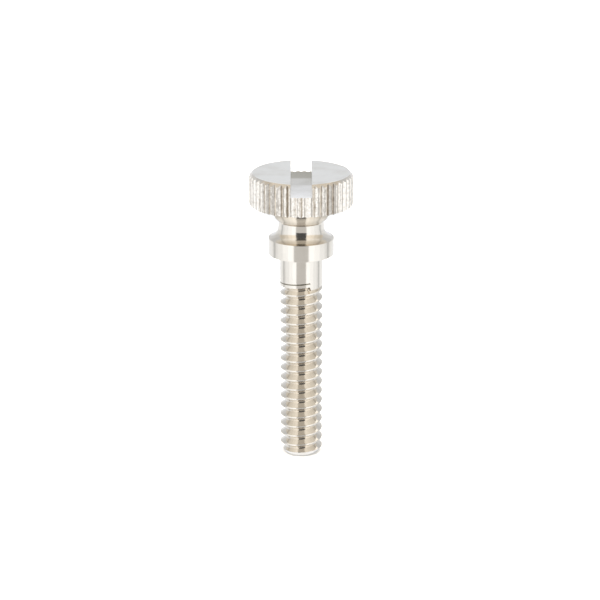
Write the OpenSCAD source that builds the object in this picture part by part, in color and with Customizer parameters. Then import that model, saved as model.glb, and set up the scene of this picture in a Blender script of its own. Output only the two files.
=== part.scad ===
// Lyre screw: a thumbscrew turned from one bar, with a knurled and slotted head, a neck, a collar,
// a plain shank and a right-hand thread. It stands on its flat end. The origin is the centre of that
// end face, and +Z runs up the axis to the head. All sizes are in millimetres.

/* [Head] */
// Diameter over the crests of the knurl
head_d = 8.2; // [7:0.1:12]
// Height of the rim, from its lower edge to the top face
rim_h = 2.5; // [1.8:0.1:4]
// Width and height of the bevel round the top face
top_bevel = 0.26; // [0.1:0.02:0.5]
// Height of the cone between the neck and the rim
underside_h = 1.4; // [0.6:0.1:2.5]

/* [Knurl] */
// Number of straight grooves round the rim
knurl_count = 46; // [30:1:56]
// Depth of a groove below the crests
knurl_depth = 0.2; // [0.08:0.01:0.3]
// Width of the land left between two grooves
knurl_land = 0.14; // [0.05:0.01:0.2]

/* [Driver slot] */
// Width of the slot
slot_w = 1.65; // [0.8:0.05:2.4]
// Depth of the slot below the top face, at the rim
slot_depth = 0.98; // [0.5:0.02:1.6]
// Radius of the saw that cuts the slot, which leaves its floor a little hollow
saw_r = 41; // [20:1:120]

/* [Neck and collar] */
// Diameter of the neck
neck_d = 3.65; // [3.4:0.05:4.6]
// Length of the neck between its cove and the cone under the head
neck_l = 0.44; // [0.2:0.01:3]
// Radius of the fillet where the neck meets the cone
neck_fillet = 0.15; // [0.05:0.01:0.2]
// Diameter of the collar
collar_d = 5.2; // [4.8:0.1:5.5]
// Radius of the cove that flares from the neck to the collar's upper edge
cove_r = 0.95; // [0.8:0.01:3]
// Height of the collar's straight side
collar_h = 1.35; // [0.6:0.01:2.5]

/* [Shank and thread] */
// Diameter of the shank and over the crests of the thread
shank_d = 3.4; // [3:0.05:3.6]
// Length from the end face to the underside of the collar
shank_l = 16.8; // [15.8:0.02:30]
// Length from the end face to the middle of the groove where it ends
thread_l = 15.02; // [6:0.02:15.3]
// Height between two turns of the thread
thread_pitch = 0.794; // [0.7:0.002:1]
// Depth of the thread's groove
thread_depth = 0.45; // [0.3:0.01:0.5]
// Width of the flat crest between two turns of the groove
thread_crest = 0.1; // [0.06:0.01:0.14]
// Width and height of the bevel at the end
end_bevel = 0.46; // [0.2:0.02:0.7]

/* [Hidden] */
$fn = 96;

// Direction of the first groove of the knurl, which is in line with the slot
knurl_from = 90;
// Included angle of the thread's groove
thread_angle = 60;
// Direction in which the groove ends. The lands of the die leave its last turns shallower: these are
// their shares of the full groove, from the end back, each for half a turn.
runout_at = -62;
runout_shares = [0.16, 0.4, 0.8];
runout_turn = 180;
// Straight steps of the groove in one turn
groove_steps = 24;
// How far a cutting shape reaches past what it cuts
past = 0.5;

head_r = head_d / 2;
neck_r = neck_d / 2;
collar_r = collar_d / 2;
shank_r = shank_d / 2;

collar_top = shank_l + collar_h;
cove_h = sqrt(cove_r ^ 2 - (neck_r + cove_r - collar_r) ^ 2);
cove_centre = [neck_r + cove_r, collar_top + cove_h];
cone_bottom = collar_top + cove_h + neck_l;
rim_bottom = cone_bottom + underside_h;
top = rim_bottom + rim_h;

flank_slope = tan(thread_angle / 2);
mouth_w = thread_pitch - thread_crest;
// The groove's cutter stands this far outside the bar, which keeps its turns apart
cutter_rise = thread_crest / (4 * flank_slope);

function unit(v) = v / norm(v);

// Centre of a hollow fillet in the corner between two straight sides
function fillet_centre(corner, side_a, side_b, radius) =
    let (a = unit(side_a - corner))
    let (b = unit(side_b - corner))
    corner + unit(a + b) * radius / sin(acos(a * b) / 2);

// The same corner filled out to the fillet's centre, from one tangent point to the other
function filled_corner(corner, side_a, side_b, radius) =
    let (a = unit(side_a - corner))
    let (b = unit(side_b - corner))
    let (reach = radius / tan(acos(a * b) / 2))
    [corner + a * reach, fillet_centre(corner, side_a, side_b, radius), corner + b * reach];

// The bar as it leaves the lathe, with its cove and fillet turned out of filled corners
module turned_blank() {
    neck_foot = [neck_r, collar_top + cove_h];
    neck_head = [neck_r, cone_bottom];
    rim_edge = [head_r, rim_bottom];
    outline = concat(
        [[0, 0], [shank_r - end_bevel, 0], [shank_r, end_bevel], [shank_r, shank_l]],
        [[collar_r, shank_l], [collar_r, collar_top], cove_centre, neck_foot],
        filled_corner(neck_head, neck_foot, rim_edge, neck_fillet),
        [rim_edge, [head_r, top - top_bevel], [head_r - top_bevel, top], [0, top]]
    );
    rotate_extrude()
        difference() {
            polygon(outline);
            intersection() {
                translate(cove_centre) circle(cove_r);
                translate([neck_r, collar_top]) square([cove_r, cove_h]);
            }
            translate(fillet_centre(neck_head, neck_foot, rim_edge, neck_fillet)) circle(neck_fillet);
        }
}

// The straight grooves round the rim
module knurl_grooves() {
    groove_w = PI * head_d / knurl_count - knurl_land;
    reach = 1 + past / knurl_depth;
    translate([0, 0, cone_bottom])
        linear_extrude(top - cone_bottom + past)
            for (i = [0:knurl_count - 1])
                rotate(knurl_from + i * 360 / knurl_count)
                    translate([head_r - knurl_depth, 0])
                        polygon([
                            [0, 0],
                            [reach * knurl_depth, -reach * groove_w / 2],
                            [reach * knurl_depth, reach * groove_w / 2]
                        ]);
}

// The slot for a driver, right across the head
module driver_slot() {
    translate([0, 0, top - slot_depth + sqrt(saw_r ^ 2 - head_r ^ 2)])
        rotate([0, 90, 0])
            cylinder(r = saw_r, h = slot_w, center = true);
}

// Share of its full section that the groove has, this far back from its end
function groove_share(turned) =
    let (part = floor(turned / runout_turn))
    part < len(runout_shares) ? runout_shares[part] : 1;

// Corners of a share of the groove's section, as radius and height. Its lower edge stays in place.
function groove_section(share) =
    let (low = -mouth_w / 2)
    let (high = low + mouth_w * share)
    let (depth = thread_depth * share)
    let (overlap = cutter_rise * flank_slope)
    [
        [shank_r - depth, low + depth * flank_slope],
        [shank_r - depth, high - depth * flank_slope],
        [shank_r + cutter_rise, high + overlap],
        [shank_r + cutter_rise, low - overlap]
    ];

// The helical groove between the turns of the thread, from its run-out down past the end face
module thread_groove() {
    steps = ceil((thread_l + thread_pitch) / thread_pitch * groove_steps);
    points = [
        for (i = [0:steps])
            let (turned = i * 360 / groove_steps)
            let (angle = runout_at - turned)
            let (height = thread_l - i * thread_pitch / groove_steps)
            for (corner = groove_section(groove_share(turned)))
                [corner[0] * cos(angle), corner[0] * sin(angle), height + corner[1]]
    ];
    sides = [
        for (i = [0:steps - 1], j = [0:3])
            let (a = 4 * i + j)
            let (b = 4 * i + (j + 1) % 4)
            each [[a, b, b + 4], [a, b + 4, a + 4]]
    ];
    first = [[3, 2, 1], [3, 1, 0]];
    last = [[4 * steps, 4 * steps + 1, 4 * steps + 2], [4 * steps, 4 * steps + 2, 4 * steps + 3]];
    polyhedron(points, concat(first, sides, last));
}

module lyre_screw() {
    color("#c9c5bb")
        difference() {
            turned_blank();
            knurl_grooves();
            driver_slot();
            thread_groove();
        }
}

lyre_screw();
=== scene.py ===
"""A lyre screw in its finish: bright nickel plate on a turned, knurled and threaded bar, in a white studio.

The screw stands on its flat end at the origin, with its axis on +Z and its driver slot along Y. It is one
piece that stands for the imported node. Sizes are in metres.
"""

from __future__ import annotations

import logging
import math
import random
from dataclasses import dataclass, field
from enum import Enum
from typing import Any, Iterable, NamedTuple, Union

import bmesh
import bpy
from mathutils import Matrix, Vector


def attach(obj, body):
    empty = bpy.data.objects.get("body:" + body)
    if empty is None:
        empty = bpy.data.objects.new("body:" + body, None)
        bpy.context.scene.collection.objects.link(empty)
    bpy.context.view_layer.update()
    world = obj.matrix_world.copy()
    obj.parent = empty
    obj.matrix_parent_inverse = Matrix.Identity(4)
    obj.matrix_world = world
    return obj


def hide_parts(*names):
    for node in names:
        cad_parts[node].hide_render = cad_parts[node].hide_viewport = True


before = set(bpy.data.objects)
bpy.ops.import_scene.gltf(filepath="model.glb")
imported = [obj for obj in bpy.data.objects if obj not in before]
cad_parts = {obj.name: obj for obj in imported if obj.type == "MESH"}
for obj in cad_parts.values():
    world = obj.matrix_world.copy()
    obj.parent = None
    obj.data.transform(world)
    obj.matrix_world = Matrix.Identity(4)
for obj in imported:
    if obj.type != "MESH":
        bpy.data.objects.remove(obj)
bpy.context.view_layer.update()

LOG = logging.getLogger("lyre_screw")

MM = 0.001
UP = Vector((0.0, 0.0, 1.0))
ORIGIN = Vector((0.0, 0.0, 0.0))
FULL_TURN = 2.0 * math.pi
# Points closer than MERGE are one point. NEAR and FLUSH say what counts as being on an edge or a face.
MERGE = 0.0005 * MM
NEAR = 0.01 * MM
FLUSH = 0.002 * MM
NODE = "lyre_screw"

Number = Union[float, "Value"]
Colour = tuple[float, float, float]
Span = tuple[float, float]
WARM: Colour = (1.05, 1.0, 0.92)


class Value:
    """One number of a node tree, on which Python's operators add Math nodes."""

    def __init__(self, graph: "NodeGraph", socket: bpy.types.NodeSocket) -> None:
        """Wrap a socket of the graph."""
        self.graph = graph
        self.socket = socket

    def math(self, operation: str, first: Number, second: Number = 0.0) -> "Value":
        """Add a Math node.

        Args:
            operation: the node's operation.
            first: its first number.
            second: its second number, where the operation has one.

        Returns:
            The node's result.
        """
        return self.graph.node("ShaderNodeMath", {"operation": operation}, {0: first, 1: second})

    def __add__(self, other: Number) -> "Value":
        """Add a number."""
        return self.math("ADD", self, other)

    def __radd__(self, other: Number) -> "Value":
        """Add to a number."""
        return self.math("ADD", other, self)

    def __sub__(self, other: Number) -> "Value":
        """Take a number away."""
        return self.math("SUBTRACT", self, other)

    def __rsub__(self, other: Number) -> "Value":
        """Take away from a number."""
        return self.math("SUBTRACT", other, self)

    def __mul__(self, other: Number) -> "Value":
        """Multiply by a number."""
        return self.math("MULTIPLY", self, other)

    def __rmul__(self, other: Number) -> "Value":
        """Multiply a number."""
        return self.math("MULTIPLY", other, self)

    def __truediv__(self, other: Number) -> "Value":
        """Divide by a number."""
        return self.math("DIVIDE", self, other)

    def __rtruediv__(self, other: Number) -> "Value":
        """Divide a number."""
        return self.math("DIVIDE", other, self)

    def __pow__(self, other: Number) -> "Value":
        """Raise to a power."""
        return self.math("POWER", self, other)

    def __rpow__(self, other: Number) -> "Value":
        """Raise a number to this power."""
        return self.math("POWER", other, self)

    def atan2(self, other: Number) -> "Value":
        """Give the angle whose tangent is this number over the other."""
        return self.math("ARCTAN2", self, other)

    def to_and_fro(self, reach: Number) -> "Value":
        """Give a number that goes from 0 to reach and back, over and over."""
        return self.math("PINGPONG", self, reach)

    def between(self, low: float, high: float) -> "Value":
        """Give 0 below low and 1 above high, with a smooth step between."""
        settings = {"interpolation_type": "SMOOTHSTEP", "clamp": True}
        return self.graph.node("ShaderNodeMapRange", settings, {0: self, 1: low, 2: high})


class NodeGraph:
    """The node tree of one material."""

    def __init__(self, name: str) -> None:
        """Make a material with an empty tree."""
        self.material = bpy.data.materials.new(name)
        self.material.use_nodes = True
        self.tree = self.material.node_tree
        self.tree.nodes.clear()

    def add(self, kind: str, settings: dict[str, Any], inputs: dict[Any, Any]) -> bpy.types.Node:
        """Add one node.

        Args:
            kind: the node's type.
            settings: the node's own properties, which are set first.
            inputs: values or links of its sockets, by name or place.

        Returns:
            The node.
        """
        made = self.tree.nodes.new(kind)
        for key, value in settings.items():
            setattr(made, key, value)
        for key, value in inputs.items():
            socket = made.inputs[key]
            if isinstance(value, Value):
                self.tree.links.new(value.socket, socket)
            else:
                socket.default_value = value
        return made

    def node(
        self, kind: str, settings: dict[str, Any], inputs: dict[Any, Any], output: Any = 0
    ) -> Value:
        """Add one node and give one of its outputs.

        Args:
            kind: the node's type.
            settings: the node's own properties.
            inputs: values or links of its sockets, by name or place.
            output: name or place of the socket that is wanted.

        Returns:
            That socket.
        """
        return Value(self, self.add(kind, settings, inputs).outputs[output])

    def mixed(self, first: Any, second: Any, share: Number) -> Value:
        """Mix two colours.

        Args:
            first: the colour where share is 0.
            second: the colour where share is 1.
            share: how much of the second.

        Returns:
            The mixed colour.
        """
        settings = {"data_type": "RGBA"}
        return self.node("ShaderNodeMix", settings, {0: share, 6: first, 7: second}, 2)

    def finish(self, inputs: dict[str, Any]) -> bpy.types.Material:
        """Add the shader and the output.

        Args:
            inputs: values or links of the Principled shader's sockets.

        Returns:
            The material.
        """
        shader = self.node("ShaderNodeBsdfPrincipled", {}, inputs)
        self.add("ShaderNodeOutputMaterial", {}, {"Surface": shader})
        return self.material


class Lay(Enum):
    """Which way the tool marks of a surface run."""

    ROUND = "round the axis, as on turned sides"
    RINGS = "in rings on a face, as a facing tool leaves them"
    ALONG = "along the axis, as a knurling wheel leaves them"
    ACROSS = "along the driver slot, as a saw leaves them"


class Zone(Enum):
    """The parts of the surface that have a finish of their own."""

    TURNED = 0
    FACE = 1
    KNURL = 2
    THREAD = 3
    SLOT = 4
    # SCORE: the groove's shallow end, whose finish has a darker tint as painted shade.
    SCORE = 5
    UNDERSIDE = 6


@dataclass(frozen=True)
class NickelFinish:
    """Bright nickel plate over the marks of one tool.

    Attributes:
        name: the material's name.
        lay: which way the tool marks run.
        tint: colour of the clean plate.
        tarnish_and_shade: colour of the tarnished plate, and of the painted shade along the slot.
        tarnish_share: how far the patches go towards that colour.
        tarnish_noise: the noise where a patch begins, and where it is full.
        shade_and_line_colour: colour of the painted shade in hollows, and of the dark crest lines.
        hollow: the radius where the painted shade is full, and the one where it ends.
        fray: how far the tool marks move the edge of the painted shade.
        crest_lines: number of fine dark lines along the axis, each on a crest of the knurl.
        crest_line: where a line begins to fade and where it ends, as shares of the knurl's step.
        crest_noise: the tool marks' height where a line is missing, and where it is whole.
        crest_share: how far the lines go towards the colour of the dirt.
        shaded_past: places along the slot past which painted shade darkens its floor, each with its share.
        shade_edge: half the width of the painted shade's soft edge.
        roughness: the smoothest shine.
        roughness_spread: how much rougher the plate gets.
        mark_step: width of a tool mark.
        mark_length: length of a tool mark.
        mark_depth: depth of a tool mark.
        wheel_r: radius at which the width of marks along the axis is measured.
        patch_size: size of the tarnished patches.
        grain_size: size of the plate's grain.
        grain_depth: depth of the plate's grain.
    """

    name: str
    lay: Lay
    tint: Colour = (0.78, 0.715, 0.62)
    tarnish_and_shade: Colour = (0.6, 0.53, 0.43)
    tarnish_share: float = 0.25
    tarnish_noise: Span = (0.42, 0.75)
    shade_and_line_colour: Colour = (0.52, 0.47, 0.39)
    hollow: Span | None = None
    fray: float = 0.05 * MM
    crest_lines: int = 0
    crest_line: Span = (0.05, 0.13)
    crest_noise: Span = (0.3, 0.55)
    crest_share: float = 0.6
    shaded_past: tuple[tuple[float, float], ...] = ()
    shade_edge: float = 0.25 * MM
    roughness: float = 0.11
    roughness_spread: float = 0.05
    mark_step: float = 0.05 * MM
    mark_length: float = 8.0 * MM
    mark_depth: float = 0.0003 * MM
    wheel_r: float = 4.1 * MM
    patch_size: float = 1.6 * MM
    grain_size: float = 0.06 * MM
    grain_depth: float = 0.0002 * MM

    def marks(self, graph: NodeGraph, x: Value, y: Value, z: Value) -> Value:
        """Give the tool marks' height, from 0 to 1.

        Args:
            graph: the tree to add nodes to.
            x: the point's first coordinate.
            y: its second.
            z: its third.

        Returns:
            The height.
        """
        if self.lay is Lay.ROUND:
            across, along = z, x
        elif self.lay is Lay.RINGS:
            across, along = (x * x + y * y) ** 0.5, x
        elif self.lay is Lay.ALONG:
            across, along = y.atan2(x) * self.wheel_r, z
        else:
            across, along = x, y
        place = graph.node(
            "ShaderNodeCombineXYZ", {}, {0: across / self.mark_step, 1: along / self.mark_length}
        )
        return graph.node(
            "ShaderNodeTexNoise",
            {"noise_dimensions": "2D"},
            {"Vector": place, "Scale": 1.0, "Detail": 3.0, "Roughness": 0.6},
        )

    def colour(self, graph: NodeGraph, axes: list[Value], patch: Value, marks: Value) -> Value:
        """Give the plate's colour, with tarnished patches, painted shade and dark crest lines.

        Args:
            graph: the tree to add nodes to.
            axes: the point's coordinates.
            patch: noise of the tarnished patches.
            marks: height of the tool marks.

        Returns:
            The colour.
        """
        x, y, _ = axes
        tarnish_and_shade = (*self.tarnish_and_shade, 1.0)
        shade_and_line_colour = (*self.shade_and_line_colour, 1.0)
        stain = patch.between(*self.tarnish_noise) * self.tarnish_share
        tint = graph.mixed((*self.tint, 1.0), tarnish_and_shade, stain)
        # Painted shade: the slot's floor gets darker past each given place along it.
        for start, share in self.shaded_past:
            past = y.between(start - self.shade_edge, start + self.shade_edge)
            tint = graph.mixed(tint, tarnish_and_shade, past * share)
        # Painted shade: the plate darkens inward of the given radii, in the knurl's grooves and towards the
        # neck under the head.
        if self.hollow:
            radius = (x * x + y * y) ** 0.5
            shade_share = 1.0 - (radius + marks * self.fray).between(*self.hollow)
            tint = graph.mixed(tint, shade_and_line_colour, shade_share)
        # Dark lines painted along the knurl's crests, whole where the tool marks are high.
        if self.crest_lines:
            crests = y.atan2(x) * (self.crest_lines / FULL_TURN)
            line = 1.0 - crests.to_and_fro(0.5).between(*self.crest_line)
            whole = marks.between(*self.crest_noise) * self.crest_share
            tint = graph.mixed(tint, shade_and_line_colour, line * whole)
        return tint

    def material(self) -> bpy.types.Material:
        """Make the material.

        Returns:
            The material, with colour, roughness and bump from its nodes.
        """
        graph = NodeGraph(self.name)
        place = graph.node("ShaderNodeTexCoord", {}, {}, "Object")
        split = graph.add("ShaderNodeSeparateXYZ", {}, {0: place})
        axes = [Value(graph, socket) for socket in split.outputs]
        patch = graph.node(
            "ShaderNodeTexNoise", {}, {"Vector": place, "Scale": 1.0 / self.patch_size, "Detail": 5.0}
        )
        grain = graph.node(
            "ShaderNodeTexNoise", {}, {"Vector": place, "Scale": 1.0 / self.grain_size, "Detail": 2.0}
        )
        marks = self.marks(graph, *axes)
        tint = self.colour(graph, axes, patch, marks)
        rough = self.roughness + (patch * 0.5 + marks * 0.5) * self.roughness_spread
        height = marks * self.mark_depth + grain * self.grain_depth
        bump = graph.node("ShaderNodeBump", {}, {"Height": height, "Distance": 1.0, "Strength": 1.0})
        return graph.finish({"Base Color": tint, "Roughness": rough, "Metallic": 1.0, "Normal": bump})


@dataclass(frozen=True)
class Corner:
    """One corner of a turned outline: its radius and height, and the radius and steps of its rounding."""

    r: float
    z: float
    blend: float = 0.0
    steps: int = 3


def rounded_outline(corners: list[Corner]) -> list[Vector]:
    """Round the corners of an outline.

    A point on each side of a rounding holds the flats beside it flat.

    Args:
        corners: the outline's corners, in order. Its two ends stay as they are.

    Returns:
        Points of the outline in the XZ plane.
    """
    hold = 0.3
    points = [Vector((corners[0].r, 0.0, corners[0].z))]
    for before, corner, after in zip(corners, corners[1:], corners[2:]):
        here = Vector((corner.r, 0.0, corner.z))
        if corner.blend == 0.0:
            points.append(here)
            continue
        back = (Vector((before.r, 0.0, before.z)) - here).normalized()
        on = (Vector((after.r, 0.0, after.z)) - here).normalized()
        half = back.angle(on) / 2.0
        centre = here + (back + on).normalized() * (corner.blend / math.sin(half))
        reach = corner.blend / math.tan(half)
        first = (here + back * reach - centre).normalized()
        last = (here + on * reach - centre).normalized()
        beside = reach + corner.blend * hold
        points.append(here + back * beside)
        for step in range(corner.steps + 1):
            points.append(centre + first.slerp(last, step / corner.steps) * corner.blend)
        points.append(here + on * beside)
    points.append(Vector((corners[-1].r, 0.0, corners[-1].z)))
    return points


def add_line(mesh: bmesh.types.BMesh, points: Iterable[Vector]) -> list[Any]:
    """Add a chain of edges through points.

    Args:
        mesh: the mesh to add to.
        points: the points, in order.

    Returns:
        The new vertices and edges.
    """
    verts = [mesh.verts.new(point) for point in points]
    edges = [mesh.edges.new(pair) for pair in zip(verts, verts[1:])]
    return verts + edges


def spin_round(mesh: bmesh.types.BMesh, geometry: list[Any], steps: int) -> None:
    """Spin a line once round the axis.

    Args:
        mesh: the mesh that holds the line.
        geometry: the line's vertices and edges.
        steps: number of flats round the axis.
    """
    bmesh.ops.spin(
        mesh, geom=geometry, cent=ORIGIN, axis=UP, angle=FULL_TURN, steps=steps, use_merge=True
    )


def as_object(mesh: bmesh.types.BMesh, name: str) -> bpy.types.Object:
    """Turn a bmesh into an object of the scene.

    Args:
        mesh: the bmesh, which is freed.
        name: the object's name.

    Returns:
        The object.
    """
    data = bpy.data.meshes.new(name)
    mesh.to_mesh(data)
    mesh.free()
    made = bpy.data.objects.new(name, data)
    bpy.context.scene.collection.objects.link(made)
    return made


@dataclass
class KnurledHead:
    """The round head: a flat top with a bevel, a knurled rim, a cone below and a slot across."""

    radius: float = 4.1 * MM
    rim_h: float = 2.5 * MM
    bevel: float = 0.26 * MM
    underside_h: float = 1.4 * MM
    teeth: int = 46
    steps_per_tooth: int = 10
    groove_depth: float = 0.2 * MM
    land: float = 0.14 * MM
    first_groove: float = math.radians(90.0)
    slot_w: float = 1.65 * MM
    slot_depth: float = 0.98 * MM
    saw_r: float = 41.0 * MM
    slot_cuts: int = 39
    edge: float = 0.03 * MM
    slot_edge: float = 0.03 * MM
    groove_edge: float = 0.018 * MM
    shake: float = 0.03 * MM
    uneven: float = 0.3
    seed: int = 7

    @property
    def tooth_w(self) -> float:
        """Width of one tooth and its groove at the crests."""
        return FULL_TURN * self.radius / self.teeth

    def corners(self, top: float) -> list[Corner]:
        """Give the outline from the middle of the top face to the lower edge of the rim.

        Args:
            top: height of the top face.

        Returns:
            The outline's corners.
        """
        return [
            Corner(0.0, top),
            Corner(self.radius * 0.5, top),
            Corner(self.radius - self.bevel, top, self.edge),
            Corner(self.radius, top - self.bevel, self.edge),
            Corner(self.radius, top - self.rim_h / 2.0),
            Corner(self.radius, top - self.rim_h, self.edge),
        ]

    def roll_knurl(self, mesh: bmesh.types.BMesh, top: float, cone_slope: float) -> None:
        """Press the straight grooves into the rim.

        The bevel's edge slides up the bevel in a groove, and the rim's lower edge slides down the cone.

        Args:
            mesh: the spun mesh.
            top: height of the top face.
            cone_slope: rise of the cone below the rim for each metre out.
        """
        draw = random.Random(self.seed)
        offset = [draw.uniform(-self.shake, self.shake) for _ in range(self.teeth)]
        depth = [self.groove_depth * draw.uniform(1.0 - self.uneven, 1.0) for _ in range(self.teeth)]
        half_w = (self.tooth_w - self.land) / 2.0
        soft = self.groove_edge
        near_edge = self.rim_h / 4.0
        for vert in mesh.verts:
            radius = math.hypot(vert.co.x, vert.co.y)
            if radius < self.radius - self.bevel / 2.0:
                continue
            place = (math.atan2(vert.co.y, vert.co.x) - self.first_groove) / FULL_TURN * self.teeth
            tooth = round(place)
            index = tooth % self.teeth
            away = math.hypot((place - tooth) * self.tooth_w - offset[index], soft) - soft
            cut = depth[index] * (1.0 - away / half_w)
            cut = (cut + math.hypot(cut, soft)) / 2.0
            vert.co.x *= (radius - cut) / radius
            vert.co.y *= (radius - cut) / radius
            if vert.co.z > top - near_edge:
                vert.co.z += cut
            elif vert.co.z < top - self.rim_h + near_edge:
                vert.co.z -= cut * cone_slope

    def slot_cutter(self, top: float) -> bpy.types.Object:
        """Make the block that cuts the driver slot, with the hollow floor that a round saw leaves.

        Args:
            top: height of the top face.

        Returns:
            The block, as an object to cut with.
        """
        past = 1.0 * MM
        mesh = bmesh.new()
        bmesh.ops.create_cube(mesh, size=1.0)
        size = Vector((self.slot_w, 2.0 * (self.radius + past), self.slot_depth + past))
        bmesh.ops.scale(mesh, vec=size, verts=mesh.verts)
        bmesh.ops.translate(mesh, vec=UP * (top - self.slot_depth + size.z / 2.0), verts=mesh.verts)
        along = [edge for edge in mesh.edges if edge.calc_length() > self.radius]
        bmesh.ops.subdivide_edges(mesh, edges=along, cuts=self.slot_cuts)
        saw_middle = top - self.slot_depth + math.sqrt(self.saw_r**2 - self.radius**2)
        for vert in mesh.verts:
            if vert.co.z < top:
                vert.co.z = saw_middle - math.sqrt(self.saw_r**2 - vert.co.y**2)
        for face in mesh.faces:
            face.material_index = Zone.SLOT.value
        return as_object(mesh, "slot_cutter")

    def ease_slot(self, mesh: bmesh.types.BMesh, top: float) -> None:
        """Bevel the two long upper edges of the slot.

        Args:
            mesh: the cut mesh.
            top: height of the top face.
        """
        edges = [
            edge
            for edge in mesh.edges
            if all(abs(abs(vert.co.x) - self.slot_w / 2.0) < FLUSH for vert in edge.verts)
            and all(abs(vert.co.z - top) < FLUSH for vert in edge.verts)
        ]
        bmesh.ops.bevel(
            mesh,
            geom=edges,
            offset=self.slot_edge,
            segments=2,
            profile=0.5,
            affect="EDGES",
            material=-1,
            clamp_overlap=True,
        )


@dataclass
class NeckAndCollar:
    """The waist under the head and the collar that the screw is tightened against."""

    neck_r: float = 1.825 * MM
    neck_l: float = 0.44 * MM
    neck_fillet: float = 0.15 * MM
    fillet_steps: int = 8
    cove_r: float = 0.95 * MM
    cove_steps: int = 18
    collar_r: float = 2.6 * MM
    collar_h: float = 1.35 * MM
    edge: float = 0.035 * MM

    @property
    def cove_h(self) -> float:
        """Height of the hollow between the neck and the collar's upper edge."""
        return math.sqrt(self.cove_r**2 - (self.neck_r + self.cove_r - self.collar_r) ** 2)

    @property
    def length(self) -> float:
        """Height from the collar's underside to the cone under the head."""
        return self.collar_h + self.cove_h + self.neck_l

    def corners(self, foot: float) -> list[Corner]:
        """Give the outline from the cone down to the collar's lower edge.

        Args:
            foot: height of the collar's underside.

        Returns:
            The outline's corners.
        """
        collar_top = foot + self.collar_h
        middle = Vector((self.neck_r + self.cove_r, collar_top + self.cove_h))
        sweep = math.asin(self.cove_h / self.cove_r)
        cove = [
            Corner(
                middle.x - self.cove_r * math.cos(sweep * step / self.cove_steps),
                middle.y - self.cove_r * math.sin(sweep * step / self.cove_steps),
            )
            for step in range(self.cove_steps)
        ]
        return [
            Corner(self.neck_r, foot + self.length, self.neck_fillet, self.fillet_steps),
            *cove,
            Corner(self.collar_r, collar_top, self.edge),
            Corner(self.collar_r, foot, self.edge),
        ]


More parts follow.
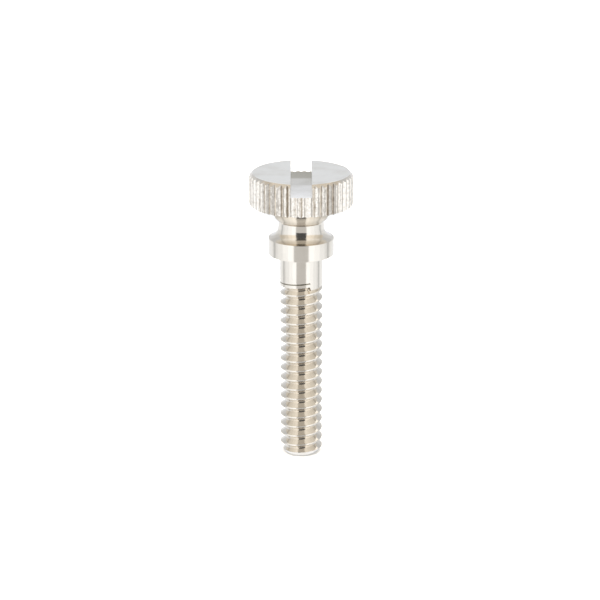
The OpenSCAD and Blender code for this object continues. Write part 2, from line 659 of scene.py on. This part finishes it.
@dataclass
class ThreadedShank:
    """The plain shank under the collar and the thread below it, down to the bevelled end."""

    radius: float = 1.7 * MM
    length: float = 16.8 * MM
    thread_l: float = 15.02 * MM
    pitch: float = 0.794 * MM
    depth: float = 0.45 * MM
    crest: float = 0.1 * MM
    flank: float = math.radians(30.0)
    end_bevel: float = 0.46 * MM
    end_cuts: int = 7
    crest_edge: float = 0.025 * MM
    root_vee: float = 0.05 * MM
    root_edge: float = 0.025 * MM
    steps_per_turn: int = 92
    runout_step: int = -16
    runout_shares: tuple[float, ...] = (0.16, 0.4, 0.8)
    runout_turn: float = math.pi

    @property
    def runout_at(self) -> float:
        """Direction in which the groove ends."""
        return self.runout_step * FULL_TURN / self.steps_per_turn

    @property
    def mouth(self) -> float:
        """Width of the groove at the crests."""
        return self.pitch - self.crest

    def groove_outline(self) -> list[Vector]:
        """Give one pitch of the thread, from crest to crest with the groove between.

        Returns:
            Points in the XZ plane, with the groove's middle at height 0.
        """
        root = self.radius - self.depth
        lip = self.mouth / 2.0
        floor = lip - self.depth * math.tan(self.flank)
        return rounded_outline(
            [
                Corner(self.radius, -self.pitch / 2.0),
                Corner(self.radius, -lip, self.crest_edge),
                Corner(root, -floor, self.root_edge),
                Corner(root - self.root_vee, 0.0, self.root_edge),
                Corner(root, floor, self.root_edge),
                Corner(self.radius, lip, self.crest_edge),
                Corner(self.radius, self.pitch / 2.0),
            ]
        )

    def wind_thread(self, mesh: bmesh.types.BMesh) -> None:
        """Wind the thread from below the end face up to its run-out.

        Args:
            mesh: the mesh to add to.
        """
        start = self.runout_at - FULL_TURN
        line = add_line(mesh, self.groove_outline())
        verts = [part for part in line if isinstance(part, bmesh.types.BMVert)]
        bmesh.ops.translate(mesh, vec=UP * (self.thread_l - self.pitch), verts=verts)
        bmesh.ops.rotate(mesh, cent=ORIGIN, matrix=Matrix.Rotation(start, 3, "Z"), verts=verts)
        bmesh.ops.spin(
            mesh,
            geom=line,
            cent=ORIGIN,
            axis=UP,
            dvec=UP * (self.pitch / self.steps_per_turn),
            angle=FULL_TURN,
            steps=self.steps_per_turn,
            use_merge=False,
        )
        one_turn = mesh.verts[:] + mesh.edges[:] + mesh.faces[:]
        for turn in range(1, math.ceil(self.thread_l / self.pitch) + 1):
            copied = bmesh.ops.duplicate(mesh, geom=one_turn)["geom"]
            verts = [part for part in copied if isinstance(part, bmesh.types.BMVert)]
            bmesh.ops.translate(mesh, vec=UP * (-turn * self.pitch), verts=verts)
        bmesh.ops.remove_doubles(mesh, verts=mesh.verts, dist=MERGE)
        self.run_out(mesh)
        bmesh.ops.remove_doubles(mesh, verts=mesh.verts, dist=MERGE)

    def on_groove(self, point: Vector) -> tuple[int, float]:
        """Find a point on the helix of the groove.

        Args:
            point: a point on or near the thread.

        Returns:
            The part of the run-out that it is in, counted from the groove's end, and its height above the
            lower edge of the groove.
        """
        step = FULL_TURN / self.steps_per_turn
        turned = self.runout_at - math.atan2(point.y, point.x)
        turned = (turned + step / 2.0) % FULL_TURN - step / 2.0
        height = point.z - self.thread_l + self.pitch * turned / FULL_TURN
        just_over_half = 0.501
        turns = math.floor(just_over_half - height / self.pitch)
        part = math.floor((turned + turns * FULL_TURN - step / 2.0) / self.runout_turn)
        return part, height + turns * self.pitch + self.mouth / 2.0

    def run_out(self, mesh: bmesh.types.BMesh) -> None:
        """Shrink the last half turns of the groove towards its lower edge, and close its end.

        Args:
            mesh: the mesh of the thread.
        """
        on_crest = self.mouth + self.crest * 0.4
        for vert in mesh.verts:
            part, above = self.on_groove(vert.co)
            if part >= len(self.runout_shares) or above > on_crest:
                continue
            share = self.runout_shares[part] if part >= 0 else 0.0
            radius = math.hypot(vert.co.x, vert.co.y)
            lifted = self.radius - (self.radius - radius) * share
            vert.co.x *= lifted / radius
            vert.co.y *= lifted / radius
            vert.co.z -= max(above, 0.0) * (1.0 - share)

    def raise_shank(self, mesh: bmesh.types.BMesh, flats: int) -> None:
        """Draw the thread's upper edge up into the plain shank.

        Args:
            mesh: the mesh of the thread.
            flats: number of flats round the collar, which the shank's upper edge joins.
        """
        last_turn = self.thread_l - self.pitch * 0.6
        end = Vector((math.cos(self.runout_at), math.sin(self.runout_at), 0.0)) * self.radius

        def at_end(vert: bmesh.types.BMVert) -> bool:
            """Say whether a vertex is on the line where the groove ends."""
            return (Vector((vert.co.x, vert.co.y, 0.0)) - end).length < NEAR

        open_edges = [
            edge
            for edge in mesh.edges
            if edge.is_boundary and min(vert.co.z for vert in edge.verts) > last_turn
        ]
        upper = [edge for edge in open_edges if not all(at_end(vert) for vert in edge.verts)]
        step_heights = sorted(
            {vert.co.z for edge in open_edges if edge not in upper for vert in edge.verts}
        )
        made = bmesh.ops.extrude_edge_only(mesh, edges=upper)["geom"]
        ring = [part for part in made if isinstance(part, bmesh.types.BMVert)]
        for vert in ring:
            vert.co.z = self.length
        side = next(
            edge
            for edge in mesh.edges
            if edge.is_boundary
            and all(at_end(vert) for vert in edge.verts)
            and min(vert.co.z for vert in edge.verts) < step_heights[0] + NEAR
            and max(vert.co.z for vert in edge.verts) > self.length - NEAR
        )
        split = bmesh.ops.subdivide_edges(mesh, edges=[side], cuts=len(step_heights) - 1)["geom_inner"]
        added = [part for part in split if isinstance(part, bmesh.types.BMVert)]
        added.sort(key=lambda vert: vert.co.z)
        for vert, height in zip(added, step_heights[1:]):
            vert.co.z = height
        rim = [
            edge for edge in mesh.edges if all(vert.co.z > self.length - NEAR for vert in edge.verts)
        ]
        bmesh.ops.subdivide_edges(mesh, edges=rim, cuts=flats // self.steps_per_turn - 1)
        for vert in mesh.verts:
            if vert.co.z > self.length - NEAR:
                step = round(math.atan2(vert.co.y, vert.co.x) / FULL_TURN * flats)
                angle = step * FULL_TURN / flats
                vert.co = Vector((math.cos(angle), math.sin(angle), 0.0)) * self.radius
                vert.co.z = self.length
        bmesh.ops.remove_doubles(mesh, verts=mesh.verts, dist=MERGE)

    def part_off(self, mesh: bmesh.types.BMesh) -> None:
        """Turn the bevel at the end, cut the thread off at the end face and close it.

        Args:
            mesh: the mesh of the shank.
        """
        flanks = [
            edge
            for edge in mesh.edges
            if edge.calc_length() > self.depth / 2.0
            and max(vert.co.z for vert in edge.verts) < 2.0 * self.end_bevel
        ]
        bmesh.ops.subdivide_edges(mesh, edges=flanks, cuts=self.end_cuts)
        for vert in mesh.verts:
            radius = math.hypot(vert.co.x, vert.co.y)
            limit = self.radius - self.end_bevel + vert.co.z
            if radius > limit:
                vert.co.x *= limit / radius
                vert.co.y *= limit / radius
        everything = mesh.verts[:] + mesh.edges[:] + mesh.faces[:]
        bmesh.ops.bisect_plane(
            mesh, geom=everything, dist=0.0, plane_co=ORIGIN, plane_no=UP, clear_inner=True
        )
        rim = [edge for edge in mesh.edges if edge.is_boundary]
        bmesh.ops.edgeloop_fill(mesh, edges=rim)


@dataclass
class LyreScrew:
    """The whole screw, which is one piece."""

    head: KnurledHead = field(default_factory=KnurledHead)
    waist: NeckAndCollar = field(default_factory=NeckAndCollar)
    shank: ThreadedShank = field(default_factory=ThreadedShank)
    smooth_below: float = math.radians(32.0)
    face_skin: float = 0.005 * MM
    groove_skin: float = 0.004 * MM

    @property
    def flats(self) -> int:
        """Number of flats round the head and the collar."""
        return self.head.teeth * self.head.steps_per_tooth

    @property
    def top(self) -> float:
        """Height of the top face."""
        return self.shank.length + self.waist.length + self.head.underside_h + self.head.rim_h

    def turn_head(self) -> bpy.types.Object:
        """Make the head, the neck and the collar, with the knurl rolled and the slot sawn.

        Returns:
            A closed shape, which has a flat cap where the shank goes on.
        """
        corners = self.head.corners(self.top) + self.waist.corners(self.shank.length)
        corners.append(Corner(self.shank.radius, self.shank.length))
        mesh = bmesh.new()
        spin_round(mesh, add_line(mesh, rounded_outline(corners)), self.flats)
        bmesh.ops.remove_doubles(mesh, verts=mesh.verts, dist=MERGE)
        cone_slope = self.head.underside_h / (self.head.radius - self.waist.neck_r)
        self.head.roll_knurl(mesh, self.top, cone_slope)
        bmesh.ops.edgeloop_fill(mesh, edges=[edge for edge in mesh.edges if edge.is_boundary])
        bmesh.ops.recalc_face_normals(mesh, faces=mesh.faces)
        self.mark_zones(mesh)
        head = as_object(mesh, "head")
        self.cut(head, self.head.slot_cutter(self.top))
        return head

    def turn_shank(self) -> bmesh.types.BMesh:
        """Make the shank with its thread and its closed end.

        Returns:
            A mesh that is open at the collar.
        """
        mesh = bmesh.new()
        self.shank.wind_thread(mesh)
        self.shank.raise_shank(mesh, self.flats)
        self.shank.part_off(mesh)
        self.mark_zones(mesh)
        return mesh

    def join(self, mesh: bmesh.types.BMesh, head: bpy.types.Object) -> None:
        """Join the head to the shank, without the cap between them.

        Args:
            mesh: the mesh of the shank, which the head is added to.
            head: the head, which is removed.
        """
        data = head.data
        mesh.from_mesh(data)
        bpy.data.objects.remove(head)
        bpy.data.meshes.remove(data)
        caps = [
            face
            for face in mesh.faces
            if all(abs(vert.co.z - self.shank.length) < NEAR for vert in face.verts)
            and all(math.hypot(vert.co.x, vert.co.y) < self.shank.radius + NEAR for vert in face.verts)
        ]
        bmesh.ops.delete(mesh, geom=caps, context="FACES_ONLY")
        bmesh.ops.remove_doubles(mesh, verts=mesh.verts, dist=MERGE)
        bmesh.ops.recalc_face_normals(mesh, faces=mesh.faces)

    def mark_zones(self, mesh: bmesh.types.BMesh) -> None:
        """Say which finish each face of the bar has.

        Args:
            mesh: the mesh of the bar.
        """
        bevel_share = 0.75
        knurl_top = self.top - self.head.bevel * bevel_share
        rim_bottom = self.top - self.head.rim_h
        knurl_bottom = rim_bottom - self.head.groove_depth
        cone_bottom = rim_bottom - self.head.underside_h
        for face in mesh.faces:
            middle = face.calc_center_median()
            radius = math.hypot(middle.x, middle.y)
            zone = Zone.TURNED
            if not self.face_skin < middle.z < self.top - self.face_skin:
                zone = Zone.FACE
            elif knurl_bottom < middle.z < knurl_top and radius > self.head.radius - self.head.bevel:
                zone = Zone.KNURL
            elif cone_bottom < middle.z < rim_bottom:
                zone = Zone.UNDERSIDE
            elif middle.z < self.shank.thread_l + self.shank.pitch / 2.0:
                if radius < self.shank.radius - self.groove_skin:
                    zone = Zone.SCORE if self.shank.on_groove(middle)[0] == 0 else Zone.THREAD
            face.material_index = zone.value

    def cut(self, piece: bpy.types.Object, cutter: bpy.types.Object) -> None:
        """Cut a shape out of a piece, and remove that shape.

        Args:
            piece: the piece to cut.
            cutter: the shape to cut with.
        """
        modifier = piece.modifiers.new(cutter.name, "BOOLEAN")
        modifier.operation = "DIFFERENCE"
        modifier.solver = "EXACT"
        modifier.material_mode = "INDEX"
        modifier.object = cutter
        graph = bpy.context.evaluated_depsgraph_get()
        result = bpy.data.meshes.new_from_object(piece.evaluated_get(graph))
        blank, shape = piece.data, cutter.data
        piece.modifiers.clear()
        piece.data = result
        bpy.data.objects.remove(cutter)
        bpy.data.meshes.remove(blank)
        bpy.data.meshes.remove(shape)

    def build(self) -> bpy.types.Object:
        """Make the screw.

        Returns:
            The piece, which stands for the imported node.
        """
        mesh = self.turn_shank()
        self.join(mesh, self.turn_head())
        self.head.ease_slot(mesh, self.top)
        for face in mesh.faces:
            face.smooth = face.material_index not in (Zone.FACE.value, Zone.SLOT.value)
        piece = as_object(mesh, "screw")
        piece.data.set_sharp_from_angle(angle=self.smooth_below)
        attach(piece, "root")
        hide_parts(NODE)
        return piece

    def dress(self, piece: bpy.types.Object, finishes: dict[Zone, NickelFinish]) -> None:
        """Plate the screw.

        Args:
            piece: the screw.
            finishes: the finish of each zone.
        """
        for zone in Zone:
            piece.data.materials.append(finishes[zone].material())


@dataclass(frozen=True)
class SoftBox:
    """A flat lamp: the direction of its middle from the screw, and how wide and high it looks, in degrees.

    An upright one stands like a wall. Any other faces the screw.
    """

    name: str
    azimuth: float
    elevation: float
    across: float
    high: float
    radiance: float
    colour: Colour = (0.95, 1.0, 1.08)
    upright: bool = True
    in_mirror: bool = True
    distance: float = 0.45

    def place(self, aim: Vector) -> bpy.types.Object:
        """Put the lamp in the scene.

        Args:
            aim: the point that it lights.

        Returns:
            The lamp.
        """
        turn = Matrix.Rotation(math.radians(self.azimuth), 3, "Z")
        half = math.radians(self.high) / 2.0
        middle = math.radians(self.elevation)
        if self.upright:
            low, high = math.tan(middle - half), math.tan(middle + half)
            facing = turn @ Vector((0.0, -1.0, 0.0))
            away = facing + UP * (low + high) / 2.0
        else:
            low, high = -math.tan(half), math.tan(half)
            facing = away = turn @ Vector((0.0, -math.cos(middle), math.sin(middle)))
        data = bpy.data.lights.new(self.name, "AREA")
        data.shape = "RECTANGLE"
        data.size = 2.0 * self.distance * math.tan(math.radians(self.across) / 2.0)
        data.size_y = self.distance * (high - low)
        data.energy = self.radiance * math.pi * data.size * data.size_y
        data.color = self.colour
        lamp = bpy.data.objects.new(self.name, data)
        lamp.visible_glossy = self.in_mirror
        bpy.context.scene.collection.objects.link(lamp)
        lamp.location = aim + away * self.distance
        lamp.rotation_euler = facing.to_track_quat("Z", "Y").to_euler()
        return lamp


class SidePanels(NamedTuple):
    """A panel on each side of the screw: its azimuth and width in degrees, and its two parts' radiance."""

    azimuth: float
    across: float
    lower: float
    upper: float


class BackRow(NamedTuple):
    """A row of panels behind the screw: its elevation and height in degrees, and its radiance."""

    elevation: float
    high: float
    radiance: float


@dataclass
class Studio:
    """The white floor, the lamps, the surroundings and the camera.

    The low and the high parts of the side panels have an elevation and a height each, in degrees.
    """

    aim: Vector = field(default_factory=lambda: Vector((-0.096 * MM, 0.0, 12.87 * MM)))
    distance: float = 167.3 * MM
    elevation: float = math.radians(18.32)
    lens: float = 125.6
    sensor: float = 36.0
    clip_start: float = 10.0 * MM
    floor_size: float = 6.0
    floor_colour: Colour = (0.92, 0.92, 0.92)
    floor_roughness: float = 0.9
    gloom: Colour = (0.03, 0.03, 0.03)
    side_panels: tuple[SidePanels, ...] = (
        SidePanels(36.5, 21.0, 1.4, 1.1),
        SidePanels(57.5, 21.0, 1.27, 1.0),
        SidePanels(78.5, 21.0, 1.12, 0.8),
        SidePanels(95.5, 13.0, 1.0, 0.66),
        SidePanels(107.5, 11.0, 0.64, 0.6),
        SidePanels(116.5, 7.0, 0.95, 0.66),
    )
    back_rows: tuple[BackRow, ...] = (
        BackRow(-25.0, 34.0, 1.07),
        BackRow(1.0, 18.0, 0.94),
        BackRow(18.0, 16.0, 0.76),
        BackRow(41.0, 30.0, 0.66),
    )
    side_low: Span = (-16.0, 68.0)
    side_high: Span = (36.0, 36.0)
    back_places: tuple[float, ...] = (140.0, 180.0, 220.0)
    back_across: float = 40.0

    def lay_floor(self) -> None:
        """Lay the plain pale floor, which lets light through from below and isn't mirrored in the screw."""
        mesh = bmesh.new()
        bmesh.ops.create_grid(mesh, x_segments=1, y_segments=1, size=self.floor_size / 2.0)
        floor = as_object(mesh, "floor")
        graph = NodeGraph("white_floor")
        floor.data.materials.append(
            graph.finish({"Base Color": (*self.floor_colour, 1.0), "Roughness": self.floor_roughness})
        )
        floor.visible_glossy = False
        floor.visible_shadow = False

    def light(self) -> None:
        """Put up the lamps and the dim room round them."""
        lamps = [
            SoftBox("front_card", 0.0, -34.0, 52.0, 60.0, 0.67, (0.98, 1.0, 1.04)),
            SoftBox("front_haze", 0.0, 26.0, 52.0, 60.0, 0.06),
            SoftBox("top_box", 180.0, 86.0, 72.0, 64.0, 0.78, WARM, upright=False),
            SoftBox("under_box", 180.0, -79.0, 80.0, 74.0, 1.2, upright=False),
            SoftBox("floor_lamp", 0.0, 90.0, 70.0, 70.0, 4.0, WARM, upright=False, in_mirror=False),
        ]
        low, low_h = self.side_low
        high, high_h = self.side_high
        for side in (-1.0, 1.0):
            for pair in self.side_panels:
                place = side * pair.azimuth
                name = f"side_{place:.0f}"
                lamps.append(SoftBox(f"{name}_low", place, low, pair.across, low_h, pair.lower))
                lamps.append(SoftBox(f"{name}_high", place, high, pair.across, high_h, pair.upper, WARM))
        for place in self.back_places:
            for row in self.back_rows:
                name = f"back_{place:.0f}_{row.elevation:.0f}"
                lamps.append(
                    SoftBox(name, place, row.elevation, self.back_across, row.high, row.radiance)
                )
        for lamp in lamps:
            lamp.place(self.aim)
        world = bpy.data.worlds.new("room")
        world.use_nodes = True
        world.node_tree.nodes["Background"].inputs["Color"].default_value = (*self.gloom, 1.0)
        bpy.context.scene.world = world

    def set_camera(self) -> None:
        """Put the camera at the photograph's angle."""
        data = bpy.data.cameras.new("camera")
        data.lens = self.lens
        data.sensor_width = self.sensor
        data.clip_start = self.clip_start
        camera = bpy.data.objects.new("camera", data)
        bpy.context.scene.collection.objects.link(camera)
        away = Vector((0.0, -math.cos(self.elevation), math.sin(self.elevation)))
        camera.location = self.aim + away * self.distance
        camera.rotation_euler = away.to_track_quat("Z", "Y").to_euler()
        bpy.context.scene.camera = camera
        bpy.context.scene.view_settings.view_transform = "Standard"


FINISHES = {
    Zone.TURNED: NickelFinish("nickel_turned", Lay.ROUND),
    Zone.FACE: NickelFinish(
        "nickel_faced",
        Lay.RINGS,
        tint=(0.95, 0.92, 0.86),
        roughness=0.3,
        roughness_spread=0.1,
    ),
    # The knurl's grooves are painted darker as painted shade, and dark lines are painted along its crests.
    Zone.KNURL: NickelFinish(
        "nickel_knurled",
        Lay.ALONG,
        tint=(0.88, 0.815, 0.72),
        tarnish_and_shade=(0.38, 0.32, 0.24),
        tarnish_share=0.4,
        shade_and_line_colour=(0.28, 0.22, 0.155),
        hollow=(3.94 * MM, 3.985 * MM),
        crest_lines=46,
        roughness=0.22,
        mark_step=0.12 * MM,
        mark_length=0.6 * MM,
        mark_depth=0.022 * MM,
        patch_size=0.22 * MM,
        grain_size=0.2 * MM,
        grain_depth=0.006 * MM,
    ),
    Zone.THREAD: NickelFinish("nickel_threaded", Lay.ROUND, roughness=0.1),
    # Painted shade: the groove's shallow end is given a much darker tint than the plate.
    Zone.SCORE: NickelFinish(
        "nickel_scored",
        Lay.ROUND,
        tint=(0.5, 0.47, 0.4),
        tarnish_and_shade=(0.4, 0.35, 0.28),
    ),
    # Painted shade: the underside is painted darker from the rim in towards the neck, under the head.
    Zone.UNDERSIDE: NickelFinish(
        "nickel_underside",
        Lay.ROUND,
        tint=(0.93, 0.87, 0.775),
        shade_and_line_colour=(0.63, 0.56, 0.465),
        hollow=(1.9 * MM, 3.4 * MM),
    ),
    Zone.SLOT: NickelFinish(
        "nickel_sawn",
        Lay.ACROSS,
        tint=(0.9, 0.85, 0.78),
        tarnish_and_shade=(0.38, 0.34, 0.245),
        # Painted shade: the floor darkens past 0.4 mm and more past 2.3 mm towards +Y, the slot's far end.
        shaded_past=((0.4 * MM, 0.28), (2.3 * MM, 0.65)),
        roughness=0.14,
        mark_step=0.08 * MM,
        mark_depth=0.0015 * MM,
    ),
}


def main() -> None:
    """Build the studio and the screw, and report the piece."""
    logging.basicConfig(level=logging.INFO, format="%(name)s: %(message)s")
    studio = Studio()
    studio.set_camera()
    studio.lay_floor()
    studio.light()
    screw = LyreScrew()
    piece = screw.build()
    screw.dress(piece, FINISHES)
    piece.data.calc_loop_triangles()
    triangles = len(piece.data.loop_triangles)
    LOG.info("%s: %d triangles, top at %.3f mm", piece.name, triangles, screw.top / MM)


if __name__ == "__main__":
    main()
